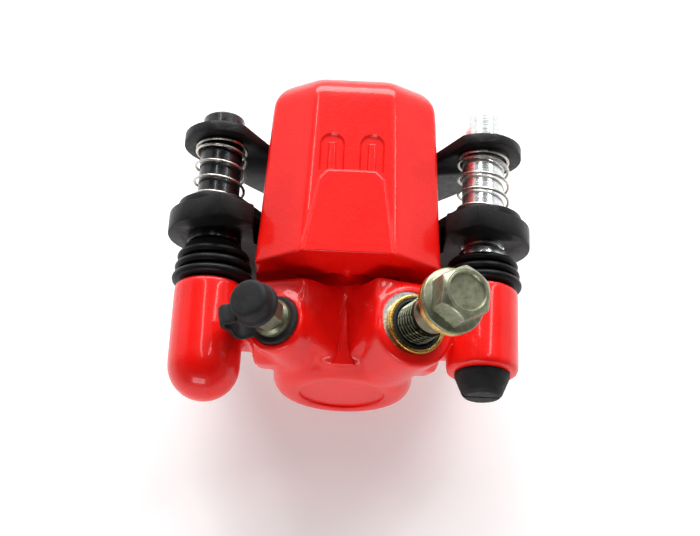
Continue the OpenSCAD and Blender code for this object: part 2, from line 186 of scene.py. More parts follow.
def finish_shading(mesh, sharp):
    """Shades a mesh smooth, except over edges that turn by more than sharp degrees."""
    mesh.shade_smooth()
    mesh.set_sharp_from_angle(angle=math.radians(sharp))


def around(columns):
    """Angles of a turned piece's columns."""
    return np.arange(columns) * 2 * math.pi / columns


def turned(name, place, rows, columns=128, ring=False, sharp=35):
    """Solid of revolution about place's z, in millimetres.

    Each row is (radius, z), and either may be an array with one value per column. A ring joins its
    last row to its first; otherwise the first and last rows are closed to the axis.
    """
    angles = around(columns)
    if not ring:
        rows = [(0, rows[0][1]), *rows, (0, rows[-1][1])]
    to_row = np.array(place)
    points = []
    for radius, z in rows:
        local = np.stack([radius * np.cos(angles), radius * np.sin(angles), z + 0 * angles], 1) * MM
        points.extend((local @ to_row[:3, :3].T + to_row[:3, 3]) / MM)
    faces = []
    bands = len(rows) if ring else len(rows) - 1
    for i in range(bands):
        a, b = i * columns, (i + 1) % len(rows) * columns
        for j in range(columns):
            k = (j + 1) % columns
            faces.append((a + j, a + k, b + k, b + j))
    return built(name, points, faces, sharp)


def tube_faces(stations, sides):
    """Faces of a closed tube whose points come ring by ring."""
    faces = []
    for i in range(0, (stations - 1) * sides, sides):
        for j in range(sides):
            k = (j + 1) % sides
            faces.append((i + j, i + k, i + sides + k, i + sides + j))
    faces.append(tuple(range(sides - 1, -1, -1)))
    faces.append(tuple((stations - 1) * sides + j for j in range(sides)))
    return faces


def headings(path):
    """Each point of a path, with the direction that the path has there."""
    for i, here in enumerate(path):
        yield here, (path[min(i + 1, len(path) - 1)] - path[max(i - 1, 0)]).normalized()


def tube(name, path, radius):
    """Round wire of this radius along a list of points, all in millimetres."""
    sides, normal = 16, Vector((0, 0, 1))
    points = []
    for here, heading in headings(path):
        normal = (normal - heading * normal.dot(heading)).normalized()
        side = heading.cross(normal)
        for j in range(sides):
            a = 2 * math.pi * j / sides
            points.append(here + (normal * math.cos(a) + side * math.sin(a)) * radius)
    return built(name, points, tube_faces(len(path), sides), 50)


def prism(name, place, low, high, z0, z1):
    """Solid between a lower outline at z0 and an upper one at z1, both of (x, y) in millimetres."""
    points = [place @ (Vector((*p, z)) * MM) / MM for ps, z in ((low, z0), (high, z1)) for p in ps]
    return built(name, points, tube_faces(2, len(low)))


def box(name, low, high):
    """Plain block between two corners in millimetres."""
    outline = [(low[0], low[1]), (high[0], low[1]), (high[0], high[1]), (low[0], high[1])]
    return prism(name, Matrix(), outline, outline, low[2], high[2])


def disc(name, place, radius, z0, z1, columns=96):
    """Plain cylinder on place's axis."""
    return turned(name, place, [(radius, z0), (radius, z1)], columns)


def copied(node, name):
    """A new object with the CAD node's own mesh, welded into one surface."""
    mesh = NODES[node].data.copy()
    mesh.name = name
    mesh.materials.clear()
    if "custom_normal" in mesh.attributes:
        mesh.attributes.remove(mesh.attributes["custom_normal"])
    weld(mesh, 2e-6)
    return shown(name, mesh)


def settle(piece):
    """Makes an object's modifiers permanent."""
    bpy.context.view_layer.update()
    seen = piece.evaluated_get(bpy.context.evaluated_depsgraph_get())
    mesh = bpy.data.meshes.new_from_object(seen)
    piece.modifiers.clear()
    piece.data = mesh


def combine(piece, tool, how):
    """Boolean of a piece with a tool, which is then removed. how is UNION or DIFFERENCE."""
    step = piece.modifiers.new("combine", "BOOLEAN")
    step.operation = how
    step.solver = "MANIFOLD"
    step.object = tool
    settle(piece)
    bpy.data.objects.remove(tool)


def join(piece, tool):
    combine(piece, tool, "UNION")


def cut(piece, tool):
    combine(piece, tool, "DIFFERENCE")


def remesh(piece, size):
    """Rebuilds a piece as one even skin with faces of this size, in millimetres."""
    grid = piece.modifiers.new("grid", "REMESH")
    grid.mode = "VOXEL"
    grid.voxel_size = size * MM
    settle(piece)


def vectors(items, name):
    """A vector of each of a mesh's points or faces, as one array."""
    values = np.empty(len(items) * 3)
    items.foreach_get(name, values)
    return values.reshape(-1, 3)


def coordinates(mesh):
    """A mesh's points as an array, in millimetres."""
    return vectors(mesh.vertices, "co") / MM


def move_points(mesh, co):
    """Puts a mesh's points at these coordinates, in millimetres."""
    mesh.vertices.foreach_set("co", (co * MM).ravel())
    mesh.update()


def even_out(piece, passes, weight):
    """Smooths a piece: at each pass a point moves by its own weight towards its neighbours' mean."""
    mesh = piece.data
    co = coordinates(mesh)
    ends = np.empty(len(mesh.edges) * 2, int)
    mesh.edges.foreach_get("vertices", ends)
    a, b = ends.reshape(-1, 2).T
    count = np.bincount(ends, minlength=len(co))[:, None]
    share = weight(co)[:, None]
    for _ in range(passes):
        total = np.stack([
            np.bincount(a, co[b, k], len(co)) + np.bincount(b, co[a, k], len(co)) for k in range(3)
        ], 1)
        co += share * (total / count - co)
    move_points(mesh, co)


def refined(node, width):
    """A stand-in for a CAD node with its sharp edges rounded by width, in millimetres."""
    piece = copied(node, node + "_finished")
    sharp, flat = 30, math.radians(1.5)
    work = bmesh.new()
    work.from_mesh(piece.data)
    bmesh.ops.dissolve_limit(work, angle_limit=flat, verts=work.verts, edges=work.edges)
    work.to_mesh(piece.data)
    work.free()
    edge = piece.modifiers.new("edge", "BEVEL")
    edge.width = width * MM
    edge.segments = 2
    edge.limit_method = "ANGLE"
    edge.angle_limit = math.radians(sharp)
    edge.use_clamp_overlap = True
    settle(piece)
    finish_shading(piece.data, sharp)
    return piece


def soft_edges(piece, width, chosen, segments=3):
    """Rounds a piece's chosen edges: the test is given the lowest y and the highest z of each."""
    work = bmesh.new()
    work.from_mesh(piece.data)
    edges = [edge for edge in work.edges
             if chosen(min(v.co.y for v in edge.verts) / MM, max(v.co.z for v in edge.verts) / MM)]
    bmesh.ops.bevel(work, geom=edges, offset=width * MM, segments=segments, profile=0.5, affect="EDGES")
    work.to_mesh(piece.data)
    work.free()
    return piece


def wear(piece, *materials):
    """Gives a piece these materials and no others."""
    piece.data.materials.clear()
    for material in materials:
        piece.data.materials.append(material)


def placed(piece, body, material, slot, *nodes):
    """Gives a piece its material and its body, and hides the CAD nodes that it stands for. Its slot is
    not used.
    """
    if material is not None:
        wear(piece, material)
    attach(piece, body)
    if nodes:
        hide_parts(*nodes)
    return piece


# ---- Material tools ----------------------------------------------------------------------------

class Look:
    """A procedural material: the principled shader and short ways to feed it."""

    def __init__(self, name, **constants):
        self.material = bpy.data.materials.new(name)
        self.material.use_nodes = True
        self.tree = self.material.node_tree
        self.shader = self.tree.nodes["Principled BSDF"]
        for socket, value in constants.items():
            self.shader.inputs[socket.replace("_", " ")].default_value = value
        self.place = self.add("ShaderNodeTexCoord").outputs["Object"]
        self.heights = []

    def add(self, kind, inputs=None, **settings):
        """A new node with these settings, whose inputs are values or other nodes' sockets."""
        node = self.tree.nodes.new(kind)
        for name, value in settings.items():
            setattr(node, name, value)
        for name, value in (inputs or {}).items():
            if isinstance(value, bpy.types.NodeSocket):
                self.tree.links.new(value, node.inputs[name])
            else:
                node.inputs[name].default_value = value
        return node

    def noise(self, size, detail=2, roughness=0.5, vector=None):
        """Noise with features about size millimetres across, from 0 to 1."""
        inputs = {"Vector": vector or self.place, "Scale": 1 / (size * MM), "Detail": detail}
        inputs["Roughness"] = roughness
        return self.add("ShaderNodeTexNoise", inputs).outputs["Fac"]

    def stretched(self, x, y, z):
        """The object's coordinates, stretched by a factor along each axis."""
        node = self.add("ShaderNodeMapping", {"Vector": self.place})
        node.inputs["Scale"].default_value = (x, y, z)
        return node.outputs["Vector"]

    def ramp(self, value, *stops):
        """A value or colour that runs through (position, value) stops."""
        node = self.add("ShaderNodeValToRGB", {"Fac": value})
        elements = node.color_ramp.elements
        while len(elements) < len(stops):
            elements.new(0.5)
        for element, (position, colour) in zip(elements, stops):
            element.position = position
            element.color = (colour,) * 3 + (1,) if isinstance(colour, (int, float)) else (*colour, 1)
        return node.outputs["Color"]

    def mix(self, share, first, second):
        """Second colour over the first by a share from 0 to 1."""
        node = self.add("ShaderNodeMix", data_type="RGBA")
        for index, value in ((0, share), (6, first), (7, second)):
            socket = node.inputs[index]
            if isinstance(value, bpy.types.NodeSocket):
                self.tree.links.new(value, socket)
            elif isinstance(value, tuple):
                socket.default_value = (*value, 1)
            else:
                socket.default_value = value
        return node.outputs[2]

    def use(self, socket, value):
        """Feeds a value to one of the shader's sockets."""
        self.tree.links.new(value, self.shader.inputs[socket])

    def bump(self, value, height, strength):
        """Adds relief of this height in millimetres."""
        inputs = {"Height": value, "Distance": height * MM, "Strength": strength}
        if self.heights:
            inputs["Normal"] = self.heights[-1]
        self.heights.append(self.add("ShaderNodeBump", inputs).outputs["Normal"])

    def done(self):
        """The finished material."""
        if self.heights:
            self.use("Normal", self.heights[-1])
        return self.material


# ---- Materials ---------------------------------------------------------------------------------

def red_paint():
    """Glossy red over a cast surface: orange peel, fine grain, and a few dust nibs."""
    look = Look("red_paint", Metallic=0.0, Roughness=0.34, Specular_IOR_Level=0.16, Coat_Weight=0.4,
                Coat_Roughness=0.11)
    shade = look.ramp(look.noise(9), (0.35, (0.80, 0.005, 0.003)), (0.65, (0.88, 0.008, 0.005)))
    specks = look.ramp(look.noise(0.55, 3, 0.6), (0.66, 0.0), (0.72, 1.0))
    look.use("Base Color", look.mix(specks, shade, (0.42, 0.003, 0.002)))
    look.bump(look.noise(0.42, 2, 0.6), 0.13, 0.5)
    look.bump(look.noise(1.7, 1), 0.15, 0.3)
    return look.done()


def bare_aluminium():
    """Machined cast aluminium with fine tool marks."""
    look = Look("bare_aluminium", Metallic=1.0)
    tone = look.ramp(look.noise(0.5, 3), (0.35, (0.62, 0.60, 0.59)), (0.65, (0.84, 0.82, 0.80)))
    look.use("Base Color", tone)
    look.use("Roughness", look.ramp(look.noise(0.3, 2), (0.3, 0.24), (0.7, 0.42)))
    look.bump(look.noise(0.16, 2), 0.02, 0.7)
    return look.done()


def black_steel(name, tone, gloss):
    """Black satin coating over a stamped plate, with light specks that are partly wear and partly painted
    glints.
    """
    look = Look(name, Metallic=0.0, Specular_IOR_Level=0.12, Coat_Weight=0.06, Coat_Roughness=0.14)
    base = look.ramp(look.noise(3.5, 3), (0.35, (tone, tone, tone * 1.05)),
                     (0.65, (tone * 1.7, tone * 1.7, tone * 1.8)))
    # Light grey specks: partly wear, partly painted glints on the black coating.
    wear_and_glints = look.ramp(look.noise(0.7, 4, 0.65), (0.70, 0.0), (0.76, 1.0))
    look.use("Base Color", look.mix(wear_and_glints, base, (0.10, 0.10, 0.105)))
    look.use("Roughness", look.ramp(look.noise(1.2, 3), (0.3, gloss), (0.7, gloss + 0.14)))
    look.bump(look.noise(0.45, 3), 0.05, 0.5)
    look.bump(look.noise(2.2, 2), 0.16, 0.4)
    return look.done()


def black_pin():
    """Black plated pin: smooth, with faint turning marks."""
    look = Look("black_pin", Metallic=0.6, Coat_Weight=0.3, Coat_Roughness=0.12)
    turns = look.noise(0.5, 2, 0.5, look.stretched(0.05, 4, 0.05))
    look.use("Base Color", look.ramp(turns, (0.3, (0.012, 0.012, 0.013)), (0.7, (0.03, 0.03, 0.032))))
    look.use("Roughness", look.ramp(look.noise(1.5, 3), (0.3, 0.22), (0.7, 0.34)))
    look.bump(turns, 0.01, 0.4)
    return look.done()


def bright_zinc():
    """Bright zinc plating with faint green and pink bands."""
    look = Look("bright_zinc", Metallic=0.93)
    tint = look.noise(2.2, 2, 0.5, look.stretched(1, 2.5, 1))
    look.use("Base Color", look.ramp(
        tint, (0.30, (0.70, 0.79, 0.73)), (0.5, (0.85, 0.87, 0.88)), (0.70, (0.84, 0.77, 0.81))))
    turns = look.noise(0.35, 2, 0.5, look.stretched(0.05, 4, 0.05))
    look.use("Roughness", look.ramp(turns, (0.3, 0.17), (0.7, 0.30)))
    look.bump(turns, 0.012, 0.5)
    look.bump(look.noise(1.1, 2), 0.03, 0.3)
    return look.done()


def olive_zinc(name, share):
    """Yellow-passivated zinc that reads as olive grey, with a cast grain; share darkens it."""
    look = Look(name, Metallic=0.65)
    patch = look.noise(1.8, 4, 0.6)
    tones = ((0.32, (0.17, 0.175, 0.11)), (0.5, (0.23, 0.24, 0.155)), (0.68, (0.30, 0.31, 0.21)))
    look.use("Base Color", look.ramp(
        patch, *((at, tuple(share * c for c in colour)) for at, colour in tones)))
    look.use("Roughness", look.ramp(look.noise(0.5, 3), (0.3, 0.27), (0.7, 0.42)))
    look.bump(look.noise(0.28, 3, 0.6), 0.03, 0.6)
    return look.done()


def gold_zinc():
    """Yellow zinc on the bonded washers' rings, with turned marks and brown stains."""
    look = Look("gold_zinc", Metallic=1.0)
    stain = look.noise(2.4, 3, 0.6)
    look.use("Base Color", look.ramp(
        stain, (0.30, (0.40, 0.20, 0.04)), (0.48, (0.60, 0.40, 0.09)), (0.70, (0.75, 0.58, 0.20))))
    look.use("Roughness", look.ramp(look.noise(0.4, 3), (0.3, 0.22), (0.7, 0.38)))
    look.bump(look.noise(0.3, 2), 0.02, 0.6)
    return look.done()


def spring_steel():
    """Drawn wire with a pale grey finish and dark specks."""
    look = Look("spring_steel", Metallic=1.0)
    marks = look.noise(0.35, 3, 0.6)
    look.use("Base Color", look.ramp(
        marks, (0.30, (0.30, 0.27, 0.23)), (0.5, (0.62, 0.59, 0.54)), (0.75, (0.78, 0.76, 0.72))))
    look.use("Roughness", look.ramp(look.noise(0.6, 2), (0.3, 0.25), (0.7, 0.42)))
    look.bump(marks, 0.01, 0.5)
    return look.done()


def rubber(name, tone, dust, roughness):
    """Moulded black rubber with a soft sheen and a share of dust specks."""
    look = Look(name, Metallic=0.0, Specular_IOR_Level=0.14)
    base = look.ramp(look.noise(2.5, 3), (0.35, (tone, tone, tone * 1.08)),
                     (0.65, (tone * 1.5, tone * 1.5, tone * 1.6)))
    specks = look.ramp(look.noise(0.32, 3, 0.7), (0.74 - dust, 0.0), (0.78 - dust, 1.0))
    look.use("Base Color", look.mix(specks, base, (0.22, 0.22, 0.23)))
    look.use("Roughness", look.ramp(
        look.noise(1.0, 3), (0.3, roughness - 0.08), (0.7, roughness + 0.1)))
    look.bump(look.noise(0.35, 3), 0.03, 0.5)
    return look.done()


def friction_lining():
    """Pressed friction material: brown-grey, with fibre and metal flecks."""
    look = Look("friction_lining", Metallic=0.0, Roughness=0.85)
    base = look.ramp(look.noise(0.8, 4, 0.7), (0.35, (0.045, 0.040, 0.036)), (0.7, (0.12, 0.105, 0.09)))
    brass = look.ramp(look.noise(0.5, 2, 0.5), (0.70, 0.0), (0.72, 1.0))
    look.use("Base Color", look.mix(brass, base, (0.42, 0.32, 0.16)))
    look.bump(look.noise(0.4, 4, 0.7), 0.12, 0.7)
    return look.done()


def piston_chrome():
    """Ground steel piston with fine rings."""
    look = Look("piston_chrome", Metallic=1.0)
    rings = look.noise(0.3, 2, 0.5, look.stretched(0.05, 4, 0.05))
    look.use("Base Color", look.ramp(rings, (0.3, (0.66, 0.66, 0.67)), (0.7, (0.80, 0.80, 0.81))))
    look.use("Roughness", look.ramp(rings, (0.3, 0.14), (0.7, 0.28)))
    look.bump(rings, 0.01, 0.5)
    return look.done()


def pale_floor():
    """Plain white studio floor with the faintest variation."""
    look = Look("pale_floor", Metallic=0.0, Roughness=0.55)
    look.use("Base Color", look.ramp(look.noise(60, 2), (0.3, 0.93), (0.7, 0.96)))
    look.shader.inputs["Emission Color"].default_value = (1, 1, 1, 1)
    look.shader.inputs["Emission Strength"].default_value = 0.21
    return look.done()


# ---- Housing -----------------------------------------------------------------------------------

BRIDGE_TOP = 51.8  # z of the bridge's flat top
BRIDGE_BACK = -9.4  # y of its inboard end
BRIDGE_LENGTH = 47.4
BRIDGE_HALF = 21.3  # half width at the inboard end
CREASE = 9.4  # half width of the flat top there
FACET_FALL = 8  # how far the slanting facets beside the flat top come down
FACET_RUN = BRIDGE_HALF - CREASE


def along_bridge(y):
    """How far along the bridge y is: 0 at its inboard end and 1 at its outboard end."""
    return (y - BRIDGE_BACK) / BRIDGE_LENGTH


def panel_outline(grow):
    """Plan of the raised panel on the bridge: it narrows outboard, and its two corners are cut."""
    corner, end = 5.4 + grow * 0.5, 10.8 + grow
    return [(-10.3 - grow, BRIDGE_BACK), (9.9 + grow, BRIDGE_BACK), (7.2 + grow, 8.9), (corner, end),
            (-corner, end), (-7.2 - grow, 8.9)]


def pocket_outline(x, radius):
    """Plan of a pocket: square where it meets the panel and round at its outboard end."""
    near, far = 10.95, 17.85
    return [(x - radius, near), (x + radius, near), *arc(x, far, radius, 0, 180, 16)]


def bar_outline(x, half, end):
    """Plan of a pocket's bar, which starts under the panel and narrows outboard."""
    near, tip = 9, half - 0.2
    return [(x - half, near), (x + half, near), (x + tip, end), (x - tip, end)]


def bridge_end():
    """Outboard end of the bridge, whose round edge follows its three top facets."""
    end, start, foot = 38.0, 5.0, 41.6
    outlines = []
    for y in (end, start):
        wide = BRIDGE_HALF - 2.4 * along_bridge(y)
        low = BRIDGE_TOP - (wide - CREASE) * FACET_FALL / FACET_RUN
        outlines.append([
            (-wide, foot), (wide, foot), (wide, low), (CREASE, BRIDGE_TOP), (-CREASE, BRIDGE_TOP),
            (-wide, low)])
    piece = prism("bridge_end", upright(), *outlines, -end, -start)
    return soft_edges(piece, 7.2, lambda low_y, high_z: low_y > end - 0.1 and high_z > foot + 0.4, 9)


def housing():
    """The casting: its CAD shape, recut and remade as one even skin, which takes the crisp details."""
    top = BRIDGE_TOP
    piece = copied("caliper_housing", "caliper_housing_finished")
    cut(piece, box("above", (-20, -12, top), (20, 40, top + 4)))
    cut(piece, box("beyond", (-25, 29.0, 42.2), (25, 40, 60)))
    join(piece, bridge_end())
    join(piece, box("fill_pockets", (-8.4, 9.9, top - 2), (8.0, 21.4, top)))
    cut(piece, valley())
    join(piece, box("under_rib", (-5, -30.2, 34), (5, -24, 36.2)))
    join(piece, disc("fill_port", PORT, 9.2, -14, 0.35))
    join(piece, disc("fill_bleeder", BLEEDER, 6.6, -12, 0.25))
    join(piece, disc("fill_left", LEFT_PIN, 8.0, -31.5, -12.6))
    join(piece, disc("fill_right", RIGHT_PIN, 7.6, -30.9, -10.9))
    join(piece, disc("fill_bore", PISTON_AXIS, 15.5, -26, -1))
    remesh(piece, 0.38)
    even_out(piece, 26, softness)
    spread_creases(piece)
    cast_details(piece)
    machine(piece)
    finish_shading(piece.data, 40)
    piece.modifiers.new("flat", "WEIGHTED_NORMAL").keep_sharp = True
    settle(piece)
    paint_housing(piece)
    return placed(piece, "caliper", None, "housing_paint", "caliper_housing")


def spread_creases(piece):
    """Turns the bridge's creases a little, outwards inboard and inwards outboard."""
    co = coordinates(piece.data)
    x, y, z = co.T
    rise = np.clip((z - BRIDGE_TOP) / FACET_FALL + 1, 0, 1) * (y > BRIDGE_BACK - 1.2)
    inboard, outboard = 1.2, -0.6
    shift = inboard + (outboard - inboard) * along_bridge(y)
    co[:, 0] = x * (1 + shift * rise / (BRIDGE_HALF - FACET_RUN * rise))
    move_points(piece.data, co)


def softness(co):
    """How much each point of the housing evens out: least along the bridge's inboard top edge."""
    _, y, z = co.T
    edge = np.exp(-((y - BRIDGE_BACK) / 1.6) ** 2) * np.clip((z - 41.5) / 2, 0, 1)
    return 0.5 * (1 - 0.93 * edge)


def valley():
    """What is cut between the port and the bleeder: its floor falls towards the cylinder's end.

    Each wall slants from the floor's edge to a shoulder, given as (distance from that edge, z).
    """
    half, high = 0.8, 56
    shoulders = (8.5, 45.4), (6.0, 48.2)
    stations = ((-10.6, 37.6), (-33.0, 35.9))
    points = []
    for y, low in stations:
        left, right = (half + away * (high - low) / (z - low) for away, z in shoulders)
        points += [(-half, y, low), (half, y, low), (right, y, high), (-left, y, high)]
    return built("valley", points, tube_faces(len(stations), 4))


def valley_rib():
    """Thin rib along the valley, which spreads to a flat foot; each station is (y, top z, half width)."""
    stations = [(-15.8, 37.6, 0.22), (-18.2, 38.9, 0.25), (-22.0, 38.4, 0.38), (-25.5, 37.75, 0.7),
                (-28.3, 37.15, 1.4), (-30.2, 36.7, 2.4)]
    points = []
    for y, z, half in stations:
        foot, low = half + 0.6, z - 1.5
        points += [(-half, y, z), (half, y, z), (foot, y, low), (-foot, y, low)]
    return built("valley_rib", points, tube_faces(len(stations), 4))


def cast_details(piece):
    """What is crisp on the casting: panel, rib, the step under the bridge's inboard edge, pockets."""
    top = BRIDGE_TOP
    panel = prism("panel", Matrix(), panel_outline(1.6), panel_outline(0), top - 1, top + 0.6)
    soft_edges(panel, 0.3, lambda low_y, high_z: high_z > top + 0.5)
    join(piece, panel)
    join(piece, valley_rib())
    step = [(-11.5, 38.5), (-4.9, 38.6), (-3.9, 40.2), (4.05, 40.25), (5.0, 39.0), (12.0, 38.9),
            (12.0, 37.4), (-11.5, 37.4)]
    cut(piece, prism("step", upright(), step, step, 8.5, 11.5))
    for x in (-4.8, 4.4):
        pocket = prism(
            "pocket", Matrix(), pocket_outline(x, 2.45), pocket_outline(x, 3.0), top - 0.5, top + 0.1)
        bar = prism(
            "bar", Matrix(), bar_outline(x, 1.15, 18.6), bar_outline(x, 0.85, 18.2),
            top - 0.6, top + 0.12)
        soft_edges(bar, 0.28, lambda low_y, high_z: high_z > top + 0.1)
        cut(piece, pocket)
        join(piece, bar)


def machine(piece):
    """Cuts the seats and bores, and the round recess in the cylinder's end."""
    spot = PORT @ Matrix.Translation(Vector((-0.7, 0.5, 0)) * MM)
    cut(piece, disc("spot_face", spot, 7.3, 0, 6))
    cut(piece, turned("port_bore", PORT, [
        (1.5, -18), (1.5, -13), (5.05, -12.2), (5.05, -0.5), (5.6, 0.05), (5.6, 2)], 96))
    cut(piece, disc("bleeder_seat", BLEEDER, 5.9, 0, 6))
    cut(piece, turned("bleeder_bore", BLEEDER, [
        (1.2, -17), (1.2, -10.5), (3.55, -9), (3.55, -0.3), (3.9, 0.05), (3.9, 1)], 64))
    cut(piece, turned("left_bore", LEFT_PIN, [
        (5.05, -31), (5.05, -16.6), (7.0, -16.6), (7.0, -13.0), (7.3, -12.5), (7.3, -11)], 96))
    cut(piece, turned("right_bore", RIGHT_PIN, [
        (5.6, -32), (5.6, -27), (5.05, -27), (5.05, -14.9), (7.0, -14.9), (7.0, -11.3),
        (7.3, -10.8), (7.3, -9)], 96))
    cut(piece, turned("end_recess", PISTON_AXIS, [(10.3, -34), (10.15, -32.0), (9.95, -31.3)], 128))
    cut(piece, turned("cylinder_bore", PISTON_AXIS, [
        (12.75, -24.5), (12.75, -7.5), (14.9, -7.5), (14.9, -5.3), (12.75, -5.3), (12.75, -3.7),
        (14.6, -3.7), (14.6, -2.1), (12.75, -2.1), (12.75, -1.4), (13.2, -0.9), (13.2, 0.5)], 128))


def paint_housing(piece):
    """Red outside, and bare metal on the spot faces and in the bores."""
    wear(piece, red_paint(), bare_aluminium())
    faces = piece.data.polygons
    centres, normals = vectors(faces, "center"), vectors(faces, "normal")
    bare = np.zeros(len(faces), bool)
    for place, radius, low, high in (
            (PORT, 8.3, -14, 0.02), (BLEEDER, 3.95, -12, 0.02), (LEFT_PIN, 7.35, -31.5, -12.4),
            (RIGHT_PIN, 7.35, -30.6, -10.7), (PISTON_AXIS, 15.2, -24.6, -0.8)):
        inverse = np.array(place.inverted())
        local = (centres @ inverse[:3, :3].T + inverse[:3, 3]) / MM
        facing = normals @ inverse[:3, :3].T
        reach = np.hypot(local[:, 0], local[:, 1])
        inward = (local[:, :2] * facing[:, :2]).sum(1) < 0.2 * reach
        bare |= (reach < radius) & (local[:, 2] > low) & (local[:, 2] < high) & inward
    faces.foreach_set("material_index", bare.astype(int))


# ---- Pins, piston and seals --------------------------------------------------------------------

def fixed_pin():
    """Black pin with a flange on the bracket's inboard face and a dimpled outboard end."""
    rows = rounded([
        (0.01, -30), (4.2, -30, 0.3), (5, -29.2, 0.3), (5, -2.3), (6.3, -2.3, 0.25), (6.3, 0), (5, 0),
        (5, 30.9, 0.3), (4.4, 31.4, 0.3), (1.6, 31.4), (1.0, 30.9), (0.01, 30.9)])
    piece = turned("fixed_slide_pin_finished", LEFT_PIN, rows)
    return placed(piece, "bracket", black_pin(), "pin_black", "fixed_slide_pin")


def removable_pin():
    """Bright pin with a collar, a chamfered inboard end with a socket, and a centre mark outboard."""
    rows = rounded([
        (2.5, -20), (2.5, -24), (4.5, -24, 0.2), (5, -23.5, 0.2), (5, -3.1), (5.5, -3.1, 0.15),
        (5.7, -2.9, 0.15), (5.7, -1.3, 0.15), (4.5, -1.1, 0.1), (4.5, 0.0), (5, 0.1), (5, 33.7, 0.25),
        (4.4, 34.2, 0.25), (0.9, 34.2, 0.1), (0.5, 33.8), (0.01, 33.8)])
    piece = turned("removable_slide_pin_finished", RIGHT_PIN, rows)
    return placed(piece, "bracket", bright_zinc(), "pin_zinc", "removable_slide_pin")


def piston():
    """Hollow cup, open towards the inner pad."""
    rows = rounded([
        (0.01, -20.7), (11.9, -20.7, 0.3), (12.7, -19.9, 0.3), (12.7, 4.1, 0.4), (12.1, 4.9, 0.3),
        (8.9, 4.9, 0.3), (8.6, 4.5), (8.6, -12, 0.9), (7.6, -13), (0.01, -13)])
    piece = turned("piston_finished", PISTON_AXIS, rows)
    return placed(piece, "piston", piston_chrome(), "piston_steel", "piston")


# ---- Boots and springs -------------------------------------------------------------------------

def boot(name, place, top, boss_top, pitch, bulge, look):
    """Bellows from its lip at z = top down to a sleeve in the boss; bulge is how far it sags inwards."""
    columns, grip, bore, sleeve, lip = 128, 5.02, 5.9, 6.98, top - 1.4
    sag = bulge * (0.5 + 0.5 * np.cos(around(columns))) ** 2
    crests = (8.25 + 0.6 * sag, 8.65 + sag, 9.1 + sag)
    waists = (6.9, 7.0)
    rib = 0.62 * pitch / 2 + 0.2
    rows = [(grip, lip), (grip, top), *rounded([(5.6, top), (6.7, top, 0.5), (6.9, top - 0.9)])]
    for i, crest in enumerate(crests):
        height = boss_top + 1.5 + (2 - i) * pitch
        rows += [(crest - rib + x, z) for x, z in arc(0, height, rib, 80, -80, 10)]
        low = height - pitch / 2
        for waist in waists[i:i + 1]:
            rows += [(waist, low + 0.12), (waist - 0.08, low), (waist, low - 0.12)]
    rows += [(7.25, boss_top + 0.25), (sleeve, boss_top), (sleeve, boss_top - 4), (bore, boss_top - 4),
             (bore, lip)]
    piece = turned(name + "_finished", place, rows, columns, ring=True, sharp=60)
    wear(piece, look)
    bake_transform(piece)
    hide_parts(name)
    return piece


def spring(name, place, look):
    """Open coil between the pads' eyes, whose last turn is closed."""
    inner_eye, outer_eye, gap = 7.7, 23.8, 0.45
    low, high = inner_eye + gap, outer_eye - gap
    wire, radius, turns, steps = 0.35, 5.95, 4.5, 56
    closed, stroke = 0.85, 5
    path = []
    for i in range(int(turns * steps) + 1):
        t = i / steps
        if t < turns - 1:
            y = low + (high - closed - low) * t / (turns - 1)
        else:
            y = high - closed * (turns - t)
        a = 2 * math.pi * t
        path.append(place @ (Vector((radius * math.cos(a), -radius * math.sin(a), y)) * MM) / MM)
    piece = placed(tube(name + "_finished", path, wire), "bracket", look, "spring_steel", name)
    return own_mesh(piece)


# ---- Hose bolt and washers ---------------------------------------------------------------------

def thread_radius(angles, z, root, crest, pitch, start, end):
    """Radius of a right-hand thread at each angle: it fades out over nearly half a turn at both ends."""
    phase = (z / pitch - angles / (2 * math.pi)) % 1
    ridge = np.clip(1.7 * (1 - np.abs(2 * phase - 1)) - 0.6, 0, 1)
    fade = np.clip(min(z - start, end - z) / (0.45 * pitch), 0, 1)
    return root + (crest - root) * ridge * fade


def hexagon(angles, across):
    """Radius of a hexagon with slightly rounded corners, at each angle."""
    crispness = 39
    spans = [np.abs(np.cos(angles - k * math.pi / 3)) for k in range(3)]
    return across / 2 / sum(span ** crispness for span in spans) ** (1 / crispness)


def chamfered_head(angles, across, z0, height, slope, edge, dish, depth):
    """Rows of a hexagon head with a turned chamfer, a raised rim and a dished top.

    The chamfer's cone is edge inside the corners at the top, and widens by slope on the way down.
    """
    hexed = hexagon(angles, across)
    top, rim, crispness = z0 + height, 0.08, 70
    rows = []
    for z in np.linspace(z0, top, 26):
        cone = across / math.sqrt(3) - edge + (top - z) * slope
        rows.append(((hexed ** -crispness + cone ** -crispness) ** (-1 / crispness), z))
    rows += [(dish + 0.55, top), (dish + 0.45, top + rim), (dish + 0.15, top + rim), (dish, top - 0.05),
             (dish - 0.2, top - depth), (dish - 1.0, top - depth - 0.02)]
    return rows


